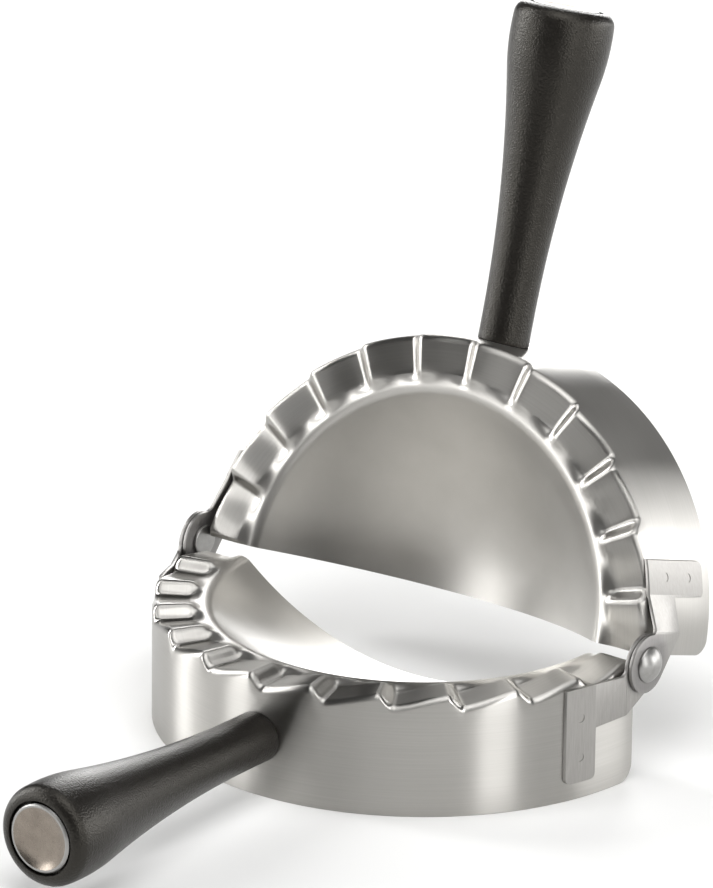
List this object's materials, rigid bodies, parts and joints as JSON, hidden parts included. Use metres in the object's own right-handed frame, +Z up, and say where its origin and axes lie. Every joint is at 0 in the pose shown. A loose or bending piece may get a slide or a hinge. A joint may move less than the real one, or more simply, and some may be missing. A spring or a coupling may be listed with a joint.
{
  "type": "empanada press",
  "caption": "Hinged half-moon dough press: matching steel half bowls with fluted crimping rims, cutting skirts and flared grips, standing half open.",
  "frame": {"origin": "on the table, below the middle of the outline of the whole press as it stands half open", "axes": "+Z up from the table; +X along the hinge axis, to the right as seen from the front handle; +Y from the front half towards the back half, so the front handle points along -Y"},
  "size_m": [0.1528, 0.235, 0.183],
  "materials": {
    "steel_shell": "stainless steel sheet, satin, polished round the skirt",
    "steel_leaf": "stainless steel sheet, satin",
    "grip_plastic": "charcoal moulded plastic, fine grain with a soft sheen",
    "cap_steel": "stainless steel, satin dished face with a bright bevel",
    "insert_brass": "turned brass",
    "washer_steel": "stainless steel, plain",
    "screw_steel": "stainless steel, plain",
    "rivet_steel": "stainless steel, polished dome",
    "spacer_steel": "stainless steel, plain"
  },
  "bodies": {
    "front_half": {"front_shell": "steel_shell", "front_leaf_right": "steel_leaf", "front_leaf_left": "steel_leaf", "front_grip": "grip_plastic", "front_end_cap": "cap_steel", "front_insert": "insert_brass", "front_washer": "washer_steel", "front_screw": "screw_steel", "hinge_rivet_right": "rivet_steel", "hinge_rivet_left": "rivet_steel", "hinge_spacer_right": "spacer_steel", "hinge_spacer_left": "spacer_steel"},
    "back_half": {"back_shell": "steel_shell", "back_leaf_right": "steel_leaf", "back_leaf_left": "steel_leaf", "back_grip": "grip_plastic", "back_end_cap": "cap_steel", "back_insert": "insert_brass", "back_washer": "washer_steel", "back_screw": "screw_steel"}
  },
  "joints": [
    {"name": "press_hinge", "type": "hinge", "parent": "front_half", "child": "back_half", "pos_m": [0, 0.04274, 0.0322], "axis": [1, 0, 0], "range_deg": [-72, 108]}
  ]
}
